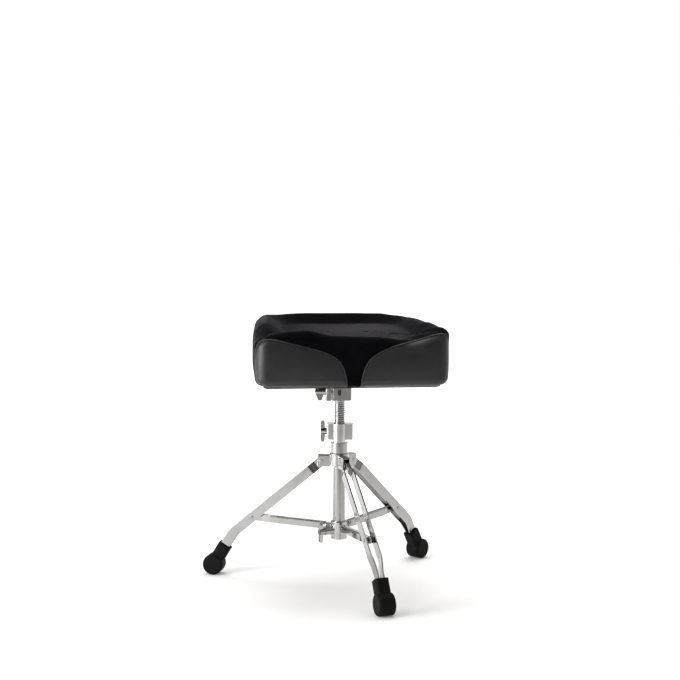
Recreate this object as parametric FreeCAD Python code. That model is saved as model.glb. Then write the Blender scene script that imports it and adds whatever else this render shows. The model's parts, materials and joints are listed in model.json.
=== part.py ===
import FreeCAD, Part
import math
import os

# Drum throne, in millimetres. The origin is on the column's axis at floor level, +Z is up
# and the seat's front (its tongue side) faces -Y. The stand is built in its own turned frame:
# the seat turns on the column, so the two have no fixed angle between them.

# ---- column -------------------------------------------------------------------------------
STAND_TURN = -9.0          # degrees from the seat's frame to the stand's frame, about +Z
TUBE_D = 28.0
TUBE_WALL = 1.2
TUBE_BOTTOM = 101.0
TUBE_TOP = 312.0
HUB_BOTTOM = 268.5
HUB_TOP = 298.0
HUB_D = 44.5
SLEEVE_D = 40.6
SLEEVE_TOP = 323.0
SLEEVE_NOTCH = (5.0, 4.0)   # width and depth, in the sleeve's top edge at its front
CLAMP_TOP = 365.5
CLAMP_D = 32.5
SPINDLE_D = 25.0
THREAD_PITCH = 5.0
THREAD_DEPTH = 1.3
SPINDLE_BOTTOM = 213.0
GUIDE_HEIGHT = 12.0
RUNNING_FIT = 0.05          # radial clearance of every running fit
SEATED_FIT = 0.02           # radial clearance where a piece is fixed in another
HUB_PIN_R = 4.0
HUB_PIN_HEAD = (4.8, 1.0)   # radius and height
LUG_PLATE = 3.0
LUG_REACH = 50.0
LUG_BOTTOM = 266.0
LUG_TOP = 293.5
LUG_SIDE_PLAY = 0.4
NUT_R = 16.5
KEY_R = 2.5
KEY_HEIGHT = 316.0
CLAMP_EAR_LEFT = -29.0
CLAMP_EAR_RIGHT = 31.5
CLAMP_EAR_FRONT = -9.5
CLAMP_EAR_REAR = 25.0
CLAMP_EAR_BOTTOM = 329.0
CLAMP_BOLT_Y = 17.5
CLAMP_BOLT_Z = 345.0
CLAMP_SLIT = 3.0
CLAMP_CORNER_R = 5.0
CLAMP_NUT_SIZE = (12.0, 5.5)  # across flats and thickness
SPINDLE_TOP = 458.0
THREAD_FROM = 231.0
THREAD_TO = 416.0
SHANK_R = 7.0

# ---- legs, braces and feet ----------------------------------------------------------------
LEG_COUNT = 3
FIRST_LEG_AZIMUTH = 169.0   # in the stand's frame
LEG_PIVOT = (40.3, 277.8)   # radius from the column's axis, height
BRACE_JOINT = (203.8, 139.8)
LEG_BEND_R = 250.0
LEG_LOWER_SLOPE = 57.0      # degrees below the horizontal
LEG_BEND_RADIUS = 60.0
STRIP_WIDTH = 22.0
STRIP_THICKNESS = 3.0
STRIP_GAP_HUB = 7.2
STRIP_GAP_MIDDLE = 19.0
STRIP_GAP_FOOT = 9.0
HUB_JOGGLE = (16.5, 31.0)   # along the leg from its pivot
LEG_LOWER_LENGTH = 64.0
LEG_RIVET_R = 3.0
LEG_RIVET_HEAD = (4.4, 1.2)  # radius and height
FOOT_R = 297.4
FOOT_BARREL_RADIUS = 24.1
FOOT_BARREL_HEIGHT = 24.0   # of the barrel's axis, so that a narrow flat meets the floor
FOOT_BARREL_WIDTH = 38.0
FOOT_SOCKET = 31.0
FOOT_SOCKET_FROM = 37.0     # along the lower leg from its bend
FOOT_SPACER_FROM = 42.0
SOCKET_ROUND = 7.0
BARREL_ROUND = 5.0
BRACE_INNER = (36.0, 129.0)
BRACE_HEIGHT = 16.5
BRACE_WIDTH = 13.0
BRACE_TONGUE = 4.8
BRACE_SHEET = 1.6
SPACER_D = 13.0
BRACE_PIN_HEAD = (5.0, 1.5)
BRACE_PIN_R = 3.0
OPEN_PIVOT_GAP = 0.3        # free play beside the brace's spacers, the pivot left open
COLLAR_BOTTOM = 99.0
COLLAR_TOP = 140.0
COLLAR_D = 38.0
COLLAR_SLIDE_PLAY = 0.08
COLLAR_LUG_HALF = 4.2
COLLAR_BOSS_R = 9.0
COLLAR_BOSS_REACH = 40.0
COLLAR_WING_AZIMUTH = 214.0  # between two legs, in the stand's frame
STEM_TIP_GAP = 0.05

# ---- fasteners ----------------------------------------------------------------------------
WING_SPAN = 50.0
BRACKET_WING_SPAN = 41.0
WING_THICKNESS = 5.0
WING_LENGTH = 12.0
BRACKET_WING_LENGTH = 22.0
WING_TIP_WIDTH = 8.5
WING_HUB_R = (8.0, 6.2)      # at its inner and outer end
WING_TIP_ROUND = 3.8
WING_STEM_R = 4.0
WASHER_R = 8.0
WASHER_THICKNESS = 1.6

# ---- seat ---------------------------------------------------------------------------------
SEAT_BOTTOM = 464.0
SEAT_TOP = 609.0
SEAT_SHIFT = 9.0            # of the seat's middle to its right of the column's axis
SEAT_HALF_WIDTH = 216.5
SEAT_FRONT = 150.0
SEAT_REAR = 200.0
SEAT_REAR_HALF_WIDTH = 184.0
FRONT_CORNER_RADIUS = 26.0
REAR_CORNER_RADIUS = 135.0
BOARD_THICKNESS = 12.0
BOARD_INSET = 22.0
BOTTOM_ROUND = 16.0
PANEL_THICKNESS = 2.5
TONGUE_HALF_WIDTH = 16.0
PANEL_END = -106.0          # how far back along the seat's sides the panels reach
PANEL_HEIGHT = (106.0, 110.0)  # at the front and at the panels' rear end
DISH_DEPTH = 34.0
DISH_RADIUS = 520.0
DISH_CENTRE_Y = -20.0
TOP_LINE = ((-160, 588.0), (-40, 601.0), (210, 609.0))  # the rim's height from front to back
RIM_ROUND = 20.0
BRACKET_BOTTOM = 420.0
BRACKET_AXIS_Z = 439.5
BRACKET_DEPTH = 40.0
BRACKET_LEFT = -20.5
BRACKET_RIGHT = 25.5
JAW_THICKNESS = 12.0
JAW_GAP = 2.0
BRACKET_SLOT = (7.0, 16.0)
BRACKET_SLOT_X = -3.5
PLATE_THICKNESS = 3.0
PLATE_LENGTH = 150.0
PLATE_WIDTH = 96.0
SCREW_R = 3.0
SCREW_DEPTH = 9.0
SCREW_HEAD = (5.5, 2.6)
SCREW_EDGE = 12.0           # from the plate's edges

# ---- sizes that follow from those above ----------------------------------------------------
LUG_INNER_HALF = STRIP_GAP_HUB / 2 + STRIP_THICKNESS + LUG_SIDE_PLAY
LEG_SLOPE = math.atan2(LEG_PIVOT[1] - BRACE_JOINT[1], BRACE_JOINT[0] - LEG_PIVOT[0])
LEG_BEND_AT = (LEG_BEND_R - LEG_PIVOT[0]) / math.cos(LEG_SLOPE)
FOOT_JOGGLE = (LEG_BEND_AT - 14.0, LEG_BEND_AT + 24.0)
BRACE_LENGTH = math.hypot(BRACE_JOINT[0] - BRACE_INNER[0], BRACE_JOINT[1] - BRACE_INNER[1])
BRACE_RISE = math.degrees(math.atan2(BRACE_JOINT[1] - BRACE_INNER[1], BRACE_JOINT[0] - BRACE_INNER[0]))
BRACE_TAPER = (BRACE_LENGTH - 44.0, BRACE_LENGTH - 20.0)
COLLAR_BORE_R = TUBE_D / 2 + COLLAR_SLIDE_PLAY
COLLAR_WING_Z = (COLLAR_BOTTOM + COLLAR_TOP) / 2

UP = FreeCAD.Vector(0, 0, 1)
LATERAL = FreeCAD.Vector(0, 1, 0)


def vec(x, y, z):
    return FreeCAD.Vector(x, y, z)


def cylinder(radius, length, base, axis=UP):
    return Part.makeCylinder(radius, length, base, axis)


def tube(outer_radius, inner_radius, low, high):
    body = cylinder(outer_radius, high - low, vec(0, 0, low))
    return body.cut(cylinder(inner_radius, high - low + 2, vec(0, 0, low - 1)))


def box(low, high):
    size = [b - a for a, b in zip(low, high)]
    return Part.makeBox(size[0], size[1], size[2], vec(*low))


def fuse_all(shapes):
    return shapes[0].multiFuse(shapes[1:]).removeSplitter()


def turned(shape, degrees):
    """The shape turned about the column's axis."""
    copy = shape.copy()
    copy.rotate(vec(0, 0, 0), UP, degrees)
    return copy


def edges_along(shape, direction, test):
    """The straight edges of a shape along a direction whose middle passes the test."""
    found = []
    for edge in shape.Edges:
        if not isinstance(edge.Curve, Part.Line):
            continue
        if abs(abs(edge.Curve.Direction.dot(direction)) - 1) > 1e-6:
            continue
        if test(edge.CenterOfMass):
            found.append(edge)
    return found


# ---- flat bands: a centre line with rounded corners and a width ---------------------------
def offset_points(points, distance):
    """A polyline's points moved sideways by a distance, to the left of its direction."""
    moved = []
    for i, point in enumerate(points):
        before = points[max(i - 1, 0)]
        after = points[min(i + 1, len(points) - 1)]
        first = heading(before, point) if i > 0 else heading(point, after)
        second = heading(point, after) if i < len(points) - 1 else first
        middle = (first[0] + second[0], first[1] + second[1])
        length = math.hypot(*middle)
        normal = (-middle[1] / length, middle[0] / length)
        reach = distance / (normal[0] * -first[1] + normal[1] * first[0])
        moved.append((point[0] + normal[0] * reach, point[1] + normal[1] * reach))
    return moved


def heading(start, end):
    length = math.hypot(end[0] - start[0], end[1] - start[1])
    return ((end[0] - start[0]) / length, (end[1] - start[1]) / length)


def turn_sign(points, i):
    first = heading(points[i - 1], points[i])
    second = heading(points[i], points[i + 1])
    return 1 if first[0] * second[1] - first[1] * second[0] > 0 else -1


def rounded_chain(points, radii, place):
    """The edges of an open polyline whose inner corners are arcs of the given radii."""
    edges = []
    start = points[0]
    for i in range(1, len(points) - 1):
        first = heading(points[i - 1], points[i])
        second = heading(points[i], points[i + 1])
        half_turn = math.acos(max(-1, min(1, first[0] * second[0] + first[1] * second[1]))) / 2
        cut = radii[i - 1] * math.tan(half_turn)
        arc_start = (points[i][0] - first[0] * cut, points[i][1] - first[1] * cut)
        arc_end = (points[i][0] + second[0] * cut, points[i][1] + second[1] * cut)
        inward = (second[0] - first[0], second[1] - first[1])
        length = math.hypot(*inward)
        sag = radii[i - 1] * (1 / math.cos(half_turn) - 1)
        arc_middle = (points[i][0] + inward[0] / length * sag, points[i][1] + inward[1] / length * sag)
        edges.append(Part.LineSegment(place(*start), place(*arc_start)).toShape())
        edges.append(Part.Arc(place(*arc_start), place(*arc_middle), place(*arc_end)).toShape())
        start = arc_end
    edges.append(Part.LineSegment(place(*start), place(*points[-1])).toShape())
    return edges


def band(points, radii, width, place):
    """The flat face that a band of the given width covers along a rounded centre line."""
    half = width / 2
    signs = [turn_sign(points, i) for i in range(1, len(points) - 1)]
    left_radii = [r - sign * half for r, sign in zip(radii, signs)]
    right_radii = [r + sign * half for r, sign in zip(radii, signs)]
    left = offset_points(points, half)
    right = offset_points(points, -half)
    edges = rounded_chain(left, left_radii, place)
    edges.append(Part.LineSegment(place(*left[-1]), place(*right[-1])).toShape())
    edges += reversed(rounded_chain(right, right_radii, place))
    edges.append(Part.LineSegment(place(*right[0]), place(*left[0])).toShape())
    return Part.Face(Part.Wire(Part.__sortEdges__(edges)))


# ---- column -------------------------------------------------------------------------------
def base_tube():
    return tube(TUBE_D / 2, TUBE_D / 2 - TUBE_WALL, TUBE_BOTTOM, TUBE_TOP)


def tube_plug():
    flange = cylinder(TUBE_D / 2, 2, vec(0, 0, TUBE_BOTTOM - 2))
    shank = cylinder(TUBE_D / 2 - TUBE_WALL - SEATED_FIT, 18, vec(0, 0, TUBE_BOTTOM))
    hollow = cylinder(TUBE_D / 2 - TUBE_WALL - 2.5, 16, vec(0, 0, TUBE_BOTTOM + 2.5))
    return flange.fuse(shank).cut(hollow)


def hub_ring():
    ring = tube(HUB_D / 2, TUBE_D / 2 + SEATED_FIT, HUB_BOTTOM, HUB_TOP)
    rims = [e for e in ring.Edges if abs(e.Length - math.pi * HUB_D) < 0.1]
    return ring.makeChamfer(0.8, rims)


def hub_lug():
    """An inverted U of plate that holds a leg's pivot, in the leg's own plane (Y = 0)."""
    half = LUG_INNER_HALF + LUG_PLATE
    outer = box((HUB_D / 2 - 6, -half, LUG_BOTTOM), (LUG_REACH, half, LUG_TOP))
    corners = edges_along(outer, vec(1, 0, 0), lambda p: p.z > LUG_TOP - 1)
    outer = outer.makeFillet(2.5, corners)
    nose = edges_along(outer, LATERAL, lambda p: p.x > LUG_REACH - 1)
    outer = outer.makeFillet(2.5, nose)
    channel = box((0, -LUG_INNER_HALF, LUG_BOTTOM - 1), (LUG_REACH + 1, LUG_INNER_HALF, LUG_TOP - LUG_PLATE))
    hole = cylinder(HUB_PIN_R + SEATED_FIT, 60, vec(LEG_PIVOT[0], -30, LEG_PIVOT[1]), LATERAL)
    return outer.cut(channel).cut(cylinder(HUB_D / 2 + SEATED_FIT, 80, vec(0, 0, LUG_BOTTOM - 20))).cut(hole)


def round_headed_pin(radius, head_size, half_grip, at, core_half=0.0):
    """A pin along Y with two domed heads outside its grip. core_half leaves its middle open."""
    head_radius, head_height = head_size
    pieces = []
    for side in (-1, 1):
        axis = LATERAL * side
        start = vec(at[0], 0, at[1]) + axis * core_half
        pieces.append(cylinder(radius, half_grip - core_half, start, axis))
        head = cylinder(head_radius, head_height, vec(at[0], 0, at[1]) + axis * half_grip, axis)
        rim = max((e for e in head.Edges), key=lambda e: abs(e.CenterOfMass.y))
        pieces.append(head.makeFillet(head_height * 0.8, [rim]))
    if core_half:
        return Part.makeCompound([pieces[0].fuse(pieces[1]), pieces[2].fuse(pieces[3])])
    return fuse_all(pieces)


def hub_pins():
    pin = round_headed_pin(HUB_PIN_R, HUB_PIN_HEAD, LUG_INNER_HALF + LUG_PLATE, LEG_PIVOT)
    return Part.makeCompound([turned(pin, leg_azimuth(i)) for i in range(LEG_COUNT)])


def nut_sleeve():
    """The outer sleeve over the tube's top, with a window at its front for the nut's key."""
    body = cylinder(SLEEVE_D / 2, SLEEVE_TOP - HUB_TOP, vec(0, 0, HUB_TOP))
    rims = [e for e in body.Edges if abs(e.Length - math.pi * SLEEVE_D) < 0.1]
    body = body.makeChamfer(0.7, rims)
    body = body.cut(cylinder(TUBE_D / 2 + SEATED_FIT, TUBE_TOP - HUB_TOP + 1, vec(0, 0, HUB_TOP - 1)))
    body = body.cut(cylinder(NUT_R + SEATED_FIT, SLEEVE_TOP - TUBE_TOP + 1, vec(0, 0, TUBE_TOP)))
    width, depth = SLEEVE_NOTCH
    notch = box((-width / 2, -SLEEVE_D, SLEEVE_TOP - depth), (width / 2, -NUT_R, SLEEVE_TOP + 1))
    return body.cut(notch).cut(cylinder(KEY_R, SLEEVE_D, vec(0, 0, KEY_HEIGHT), vec(0, -1, 0)))


def spindle_nut():
    nut = tube(NUT_R, SPINDLE_D / 2 + RUNNING_FIT, TUBE_TOP, SLEEVE_TOP)
    return nut.cut(cylinder(KEY_R, SLEEVE_D, vec(0, 0, KEY_HEIGHT), vec(0, -1, 0)))


def sleeve_key():
    """A grub screw that stops the nut from turning in its sleeve."""
    inner = SPINDLE_D / 2 + 1.5
    outer = SLEEVE_D / 2 - 1.2
    screw = cylinder(KEY_R - SEATED_FIT, outer - inner, vec(0, -inner, KEY_HEIGHT), vec(0, -1, 0))
    socket = cylinder(1.3, 2.5, vec(0, -outer + 2.0, KEY_HEIGHT), vec(0, -1, 0))
    return screw.cut(socket)


def upper_clamp():
    """A split collar round the spindle, with two ears behind it that a wing bolt pulls together."""
    ring = cylinder(CLAMP_D / 2, CLAMP_TOP - SLEEVE_TOP, vec(0, 0, SLEEVE_TOP))
    low = (CLAMP_EAR_LEFT, CLAMP_EAR_FRONT, CLAMP_EAR_BOTTOM)
    ears = box(low, (CLAMP_EAR_RIGHT, CLAMP_EAR_REAR, CLAMP_TOP - 0.5))
    corners = edges_along(ears, UP, lambda p: True)
    ears = ears.makeFillet(CLAMP_CORNER_R, corners)
    body = ring.fuse(ears)
    body = body.cut(cylinder(SPINDLE_D / 2 + RUNNING_FIT, 60, vec(0, 0, SLEEVE_TOP - 10)))
    slit = box((-CLAMP_SLIT / 2, 0, SLEEVE_TOP - 1), (CLAMP_SLIT / 2, CLAMP_EAR_REAR + 1, CLAMP_TOP + 1))
    bolt_hole = cylinder(WING_STEM_R + RUNNING_FIT, 80, vec(-40, CLAMP_BOLT_Y, CLAMP_BOLT_Z), vec(1, 0, 0))
    return body.cut(slit).cut(bolt_hole).cut(clamp_nut_blank(SEATED_FIT)).removeSplitter()


def clamp_nut_blank(play):
    """The square nut's block, or with some play the pocket that it is sunk in."""
    half = CLAMP_NUT_SIZE[0] / 2 + play
    low = (CLAMP_EAR_RIGHT - CLAMP_NUT_SIZE[1], CLAMP_BOLT_Y - half, CLAMP_BOLT_Z - half)
    return box(low, (CLAMP_EAR_RIGHT + play, CLAMP_BOLT_Y + half, CLAMP_BOLT_Z + half))


def clamp_nut():
    """The square nut sunk in the clamp's far ear."""
    start = vec(CLAMP_EAR_RIGHT - 10, CLAMP_BOLT_Y, CLAMP_BOLT_Z)
    return clamp_nut_blank(0).cut(cylinder(WING_STEM_R + RUNNING_FIT, 20, start, vec(1, 0, 0)))


def washer(base, axis):
    disc = cylinder(WASHER_R, WASHER_THICKNESS, base, axis)
    return disc.cut(cylinder(WING_STEM_R + RUNNING_FIT, WASHER_THICKNESS + 2, base - axis, axis))


def wing_bolt(span, length, stem_length):
    """A cast wing bolt along +X: its hub starts at X = 0 and its stem runs to -stem_length."""
    hub = Part.makeCone(WING_HUB_R[0], WING_HUB_R[1], length, vec(0, 0, 0), vec(1, 0, 0))
    half = span / 2
    tip = 0.3 * length
    upper = [(1.5, 0), (tip, half), (tip + WING_TIP_WIDTH, half), (length + 1.0, 0)]
    outline = upper + [(x, -z) for x, z in reversed(upper[:-1])]
    wire = Part.makePolygon([vec(x, -WING_THICKNESS / 2, z) for x, z in outline])
    plate = Part.Face(wire).extrude(vec(0, WING_THICKNESS, 0))
    tips = edges_along(plate, LATERAL, lambda p: abs(p.z) > half - 1)
    plate = plate.makeFillet(WING_TIP_ROUND, tips)
    stem = cylinder(WING_STEM_R, stem_length, vec(-stem_length, 0, 0), vec(1, 0, 0))
    return fuse_all([hub, plate, stem])


def placed_bolt(bolt, azimuth, start):
    """A wing bolt whose hub starts at a point and points outward at an azimuth."""
    copy = bolt.copy()
    copy.rotate(vec(0, 0, 0), UP, azimuth)
    copy.translate(start)
    return copy


def upper_washer():
    return washer(vec(CLAMP_EAR_LEFT, CLAMP_BOLT_Y, CLAMP_BOLT_Z), vec(-1, 0, 0))


def upper_wing_bolt():
    start = vec(CLAMP_EAR_LEFT - WASHER_THICKNESS, CLAMP_BOLT_Y, CLAMP_BOLT_Z)
    stem = CLAMP_EAR_RIGHT - 0.5 - start.x
    return placed_bolt(wing_bolt(WING_SPAN, WING_LENGTH, stem), 180, start)


# ---- legs ---------------------------------------------------------------------------------
def leg_azimuth(index):
    return FIRST_LEG_AZIMUTH + index * 360 / LEG_COUNT


def along_leg(distance, sideways=0.0):
    """The radius and height of a point on the leg's upper run, counted from its pivot."""
    c, s = math.cos(LEG_SLOPE), math.sin(LEG_SLOPE)
    return (LEG_PIVOT[0] + distance * c + sideways * s, LEG_PIVOT[1] - distance * s + sideways * c)


def lower_leg(distance, sideways=0.0):
    """The radius and height of a point on the leg's lower run, counted from its bend."""
    slope = math.radians(LEG_LOWER_SLOPE)
    bend = along_leg(LEG_BEND_AT)
    c, s = math.cos(slope), math.sin(slope)
    return (bend[0] + distance * c + sideways * s, bend[1] - distance * s + sideways * c)


def leg_side_profile():
    """The leg's outline seen from its side, as a solid as wide as the whole leg."""
    centre = [LEG_PIVOT, along_leg(LEG_BEND_AT), lower_leg(LEG_LOWER_LENGTH)]
    face = band(centre, [LEG_BEND_RADIUS], STRIP_WIDTH, lambda x, z: vec(x, -30, z))
    round_end = cylinder(STRIP_WIDTH / 2, 60, vec(LEG_PIVOT[0], -30, LEG_PIVOT[1]), LATERAL)
    return fuse_all([face.extrude(vec(0, 60, 0)), round_end])


def strip_plan(side):
    """One strip's bends, seen square to the leg's upper run: a solid through the leg's height."""
    hub = STRIP_GAP_HUB / 2 + STRIP_THICKNESS / 2
    middle = STRIP_GAP_MIDDLE / 2 + STRIP_THICKNESS / 2
    foot = STRIP_GAP_FOOT / 2 + STRIP_THICKNESS / 2
    path = [(-20, hub), (HUB_JOGGLE[0], hub), (HUB_JOGGLE[1], middle), (FOOT_JOGGLE[0], middle)]
    path += [(FOOT_JOGGLE[1], foot), (LEG_BEND_AT + LEG_LOWER_LENGTH + 10, foot)]
    path = [(s, side * y) for s, y in path]
    c, s = math.cos(LEG_SLOPE), math.sin(LEG_SLOPE)
    depth = 90.0

    def place(distance, y):
        return vec(LEG_PIVOT[0] + distance * c - depth * s, y, LEG_PIVOT[1] - distance * s - depth * c)

    face = band(path, [10.0, 10.0, 25.0, 25.0], STRIP_THICKNESS, place)
    return face.extrude(vec(2 * depth * s, 0, 2 * depth * c))


def leg_strip(side):
    strip = leg_side_profile().common(strip_plan(side))
    hub_hole = cylinder(HUB_PIN_R + RUNNING_FIT, 60, vec(LEG_PIVOT[0], -30, LEG_PIVOT[1]), LATERAL)
    rivet_hole = cylinder(LEG_RIVET_R + SEATED_FIT, 60, vec(BRACE_JOINT[0], -30, BRACE_JOINT[1]), LATERAL)
    return strip.cut(hub_hole).cut(rivet_hole)


def leg_rivets():
    """The two headed halves of the brace's rivet, one in each strip."""
    inner = STRIP_GAP_MIDDLE / 2
    half_grip = inner + STRIP_THICKNESS
    return round_headed_pin(LEG_RIVET_R, LEG_RIVET_HEAD, half_grip, BRACE_JOINT, core_half=inner)


def foot_spacer():
    """The block that the two strips are clamped to inside the rubber foot."""
    start = lower_leg(FOOT_SPACER_FROM)
    end = lower_leg(LEG_LOWER_LENGTH)
    face = band([start, end], [], STRIP_WIDTH - 4, lambda x, z: vec(x, -STRIP_GAP_FOOT / 2, z))
    return face.extrude(vec(0, STRIP_GAP_FOOT, 0))


def rubber_foot(inserts):
    """A rounded socket round the strips that runs into a barrel with a crosswise axis."""
    half = FOOT_SOCKET / 2
    start = lower_leg(FOOT_SOCKET_FROM)
    end = (FOOT_R, FOOT_BARREL_HEIGHT)
    face = band([start, end], [], FOOT_SOCKET, lambda x, z: vec(x, -half, z))
    socket = face.extrude(vec(0, 2 * half, 0))
    run = heading(start, end)
    corners = edges_along(socket, vec(run[0], 0, run[1]), lambda p: True)
    socket = socket.makeFillet(SOCKET_ROUND, corners)
    centre = vec(FOOT_R, -FOOT_BARREL_WIDTH / 2, FOOT_BARREL_HEIGHT)
    barrel = cylinder(FOOT_BARREL_RADIUS, FOOT_BARREL_WIDTH, centre, LATERAL)
    barrel = barrel.makeFillet(BARREL_ROUND, [e for e in barrel.Edges if isinstance(e.Curve, Part.Circle)])
    foot = fuse_all([socket, barrel])
    below = box((FOOT_R - 60, -40, -20), (FOOT_R + 60, 40, 0))
    foot = foot.cut(below)
    for insert in inserts:
        foot = foot.cut(insert)
    return foot


# ---- braces and the lower collar ----------------------------------------------------------
def brace_plan(half_wide, half_tongue, low, high, inset=0.0):
    """A prism over the brace's plan: wide along most of its length, then drawn in to a tongue."""
    start = -BRACE_HEIGHT / 2 - 1 if inset else -BRACE_HEIGHT / 2
    end = BRACE_TAPER[1] if inset else BRACE_LENGTH + BRACE_HEIGHT / 2
    half = [(start, half_wide), (BRACE_TAPER[0], half_wide)]
    half += [(BRACE_TAPER[1], half_tongue), (end, half_tongue)]
    points = half + [(x, -y) for x, y in reversed(half)]
    wire = Part.makePolygon([vec(x, y, low) for x, y in points + points[:1]])
    return Part.Face(wire).extrude(vec(0, 0, high - low))


def brace_in_place(shape):
    """Moves a piece from the brace's own frame (inner pivot at the origin) into the leg's plane."""
    copy = shape.copy()
    copy.rotate(vec(0, 0, 0), LATERAL, -BRACE_RISE)
    copy.translate(vec(BRACE_INNER[0], 0, BRACE_INNER[1]))
    return copy


def brace():
    """A pressed inverted channel: open below, round-ended, its outer end pinched to a tongue."""
    half_height = BRACE_HEIGHT / 2
    body = brace_plan(BRACE_WIDTH / 2, BRACE_TONGUE / 2, -half_height, half_height)
    top = edges_along(body, vec(1, 0, 0), lambda p: p.z > half_height - 1 and p.x < BRACE_TAPER[0])
    body = body.makeFillet(3.0, top)
    inner = BRACE_WIDTH / 2 - BRACE_SHEET
    hollow = brace_plan(inner, 0.2, -half_height - 1, half_height - BRACE_SHEET, inset=1.0)
    body = body.cut(hollow)
    side = box((0, -20, -half_height), (BRACE_LENGTH, 20, half_height))
    ends = [cylinder(half_height, 40, vec(x, -20, 0), LATERAL) for x in (0, BRACE_LENGTH)]
    body = body.common(fuse_all([side] + ends))
    for x, radius in ((0, BRACE_PIN_R + RUNNING_FIT), (BRACE_LENGTH, BRACE_PIN_R + SEATED_FIT)):
        body = body.cut(cylinder(radius, 40, vec(x, -20, 0), LATERAL))
    return brace_in_place(body)


def brace_spacers():
    """The two black spacers beside the brace's tongue, just short of the leg's strips."""
    outer = STRIP_GAP_MIDDLE / 2 - OPEN_PIVOT_GAP
    inner = BRACE_TONGUE / 2
    pieces = []
    for side in (-1, 1):
        axis = LATERAL * side
        base = vec(BRACE_LENGTH, 0, 0) + axis * inner
        ring = cylinder(SPACER_D / 2, outer - inner, base, axis)
        pieces.append(ring.cut(cylinder(BRACE_PIN_R + SEATED_FIT, outer, base - axis, axis)))
    return brace_in_place(Part.makeCompound(pieces))


def brace_pin():
    half = STRIP_GAP_MIDDLE / 2 - OPEN_PIVOT_GAP
    return brace_in_place(cylinder(BRACE_PIN_R, 2 * half, vec(BRACE_LENGTH, -half, 0), LATERAL))


def lower_collar():
    """The sliding collar: three lugs for the braces and a boss for its wing bolt."""
    body = cylinder(COLLAR_D / 2, COLLAR_TOP - COLLAR_BOTTOM, vec(0, 0, COLLAR_BOTTOM))
    rims = [e for e in body.Edges if isinstance(e.Curve, Part.Circle)]
    pieces = [body.makeFillet(1.5, rims)]
    for index in range(LEG_COUNT):
        pieces.append(turned(collar_lug(), leg_azimuth(index)))
    boss = cylinder(COLLAR_BOSS_R, COLLAR_BOSS_REACH, vec(0, 0, COLLAR_WING_Z), vec(1, 0, 0))
    pieces.append(turned(boss, COLLAR_WING_AZIMUTH))
    body = fuse_all(pieces).cut(cylinder(COLLAR_BORE_R, 80, vec(0, 0, COLLAR_BOTTOM - 10)))
    stem = cylinder(WING_STEM_R + RUNNING_FIT, 60, vec(0, 0, COLLAR_WING_Z), vec(1, 0, 0))
    return body.cut(turned(stem, COLLAR_WING_AZIMUTH))


def collar_lug():
    reach = BRACE_INNER[0]
    low = BRACE_INNER[1] - BRACE_HEIGHT / 2 + 0.5
    plate = box((COLLAR_D / 2 - 3, -COLLAR_LUG_HALF, low), (reach, COLLAR_LUG_HALF, low + BRACE_HEIGHT - 3.5))
    eye = cylinder(5.8, 2 * COLLAR_LUG_HALF, vec(reach, -COLLAR_LUG_HALF, BRACE_INNER[1]), LATERAL)
    hole = cylinder(BRACE_PIN_R + SEATED_FIT, 20, vec(reach, -10, BRACE_INNER[1]), LATERAL)
    return plate.fuse(eye).cut(hole)


def collar_pins():
    pin = round_headed_pin(BRACE_PIN_R, BRACE_PIN_HEAD, BRACE_WIDTH / 2 + 0.2, BRACE_INNER)
    return Part.makeCompound([turned(pin, leg_azimuth(i)) for i in range(LEG_COUNT)])


def collar_washer():
    base = turned_point(COLLAR_BOSS_REACH, COLLAR_WING_AZIMUTH, COLLAR_WING_Z)
    return washer(base, outward(COLLAR_WING_AZIMUTH))


def outward(azimuth):
    return vec(math.cos(math.radians(azimuth)), math.sin(math.radians(azimuth)), 0)


def turned_point(radius, azimuth, height):
    return outward(azimuth) * radius + vec(0, 0, height)


def collar_wing_bolt():
    reach = COLLAR_BOSS_REACH + WASHER_THICKNESS
    stem = reach - TUBE_D / 2 - STEM_TIP_GAP
    start = turned_point(reach, COLLAR_WING_AZIMUTH, COLLAR_WING_Z)
    return placed_bolt(wing_bolt(WING_SPAN, WING_LENGTH, stem), COLLAR_WING_AZIMUTH, start)


# ---- spindle ------------------------------------------------------------------------------
def spindle():
    """The height screw: a turned rod with a trapezoidal ring at every pitch and a thin lower end."""
    outer = SPINDLE_D / 2
    root = outer - THREAD_DEPTH
    points = [(0, SPINDLE_BOTTOM - 3), (SHANK_R + 2, SPINDLE_BOTTOM - 3), (SHANK_R + 2, SPINDLE_BOTTOM)]
    points += [(SHANK_R, SPINDLE_BOTTOM), (SHANK_R, SPINDLE_BOTTOM + GUIDE_HEIGHT + 0.4)]
    points.append((outer, SPINDLE_BOTTOM + GUIDE_HEIGHT + 0.4))
    turns = int((THREAD_TO - THREAD_FROM) / THREAD_PITCH)
    for i in range(turns):
        z = THREAD_FROM + i * THREAD_PITCH
        points += [(outer, z), (root, z + 0.9), (root, z + 2.3), (outer, z + 3.2)]
    points += [(outer, SPINDLE_TOP), (0, SPINDLE_TOP), (0, SPINDLE_BOTTOM - 3)]
    wire = Part.makePolygon([vec(r, 0, z) for r, z in points])
    return Part.Face(wire).revolve(vec(0, 0, 0), UP, 360)


def spindle_guide():
    """The nylon slider at the spindle's lower end, which runs inside the tube."""
    outer = TUBE_D / 2 - TUBE_WALL - RUNNING_FIT
    return tube(outer, SHANK_R + RUNNING_FIT, SPINDLE_BOTTOM + 0.2, SPINDLE_BOTTOM + GUIDE_HEIGHT + 0.2)


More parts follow.
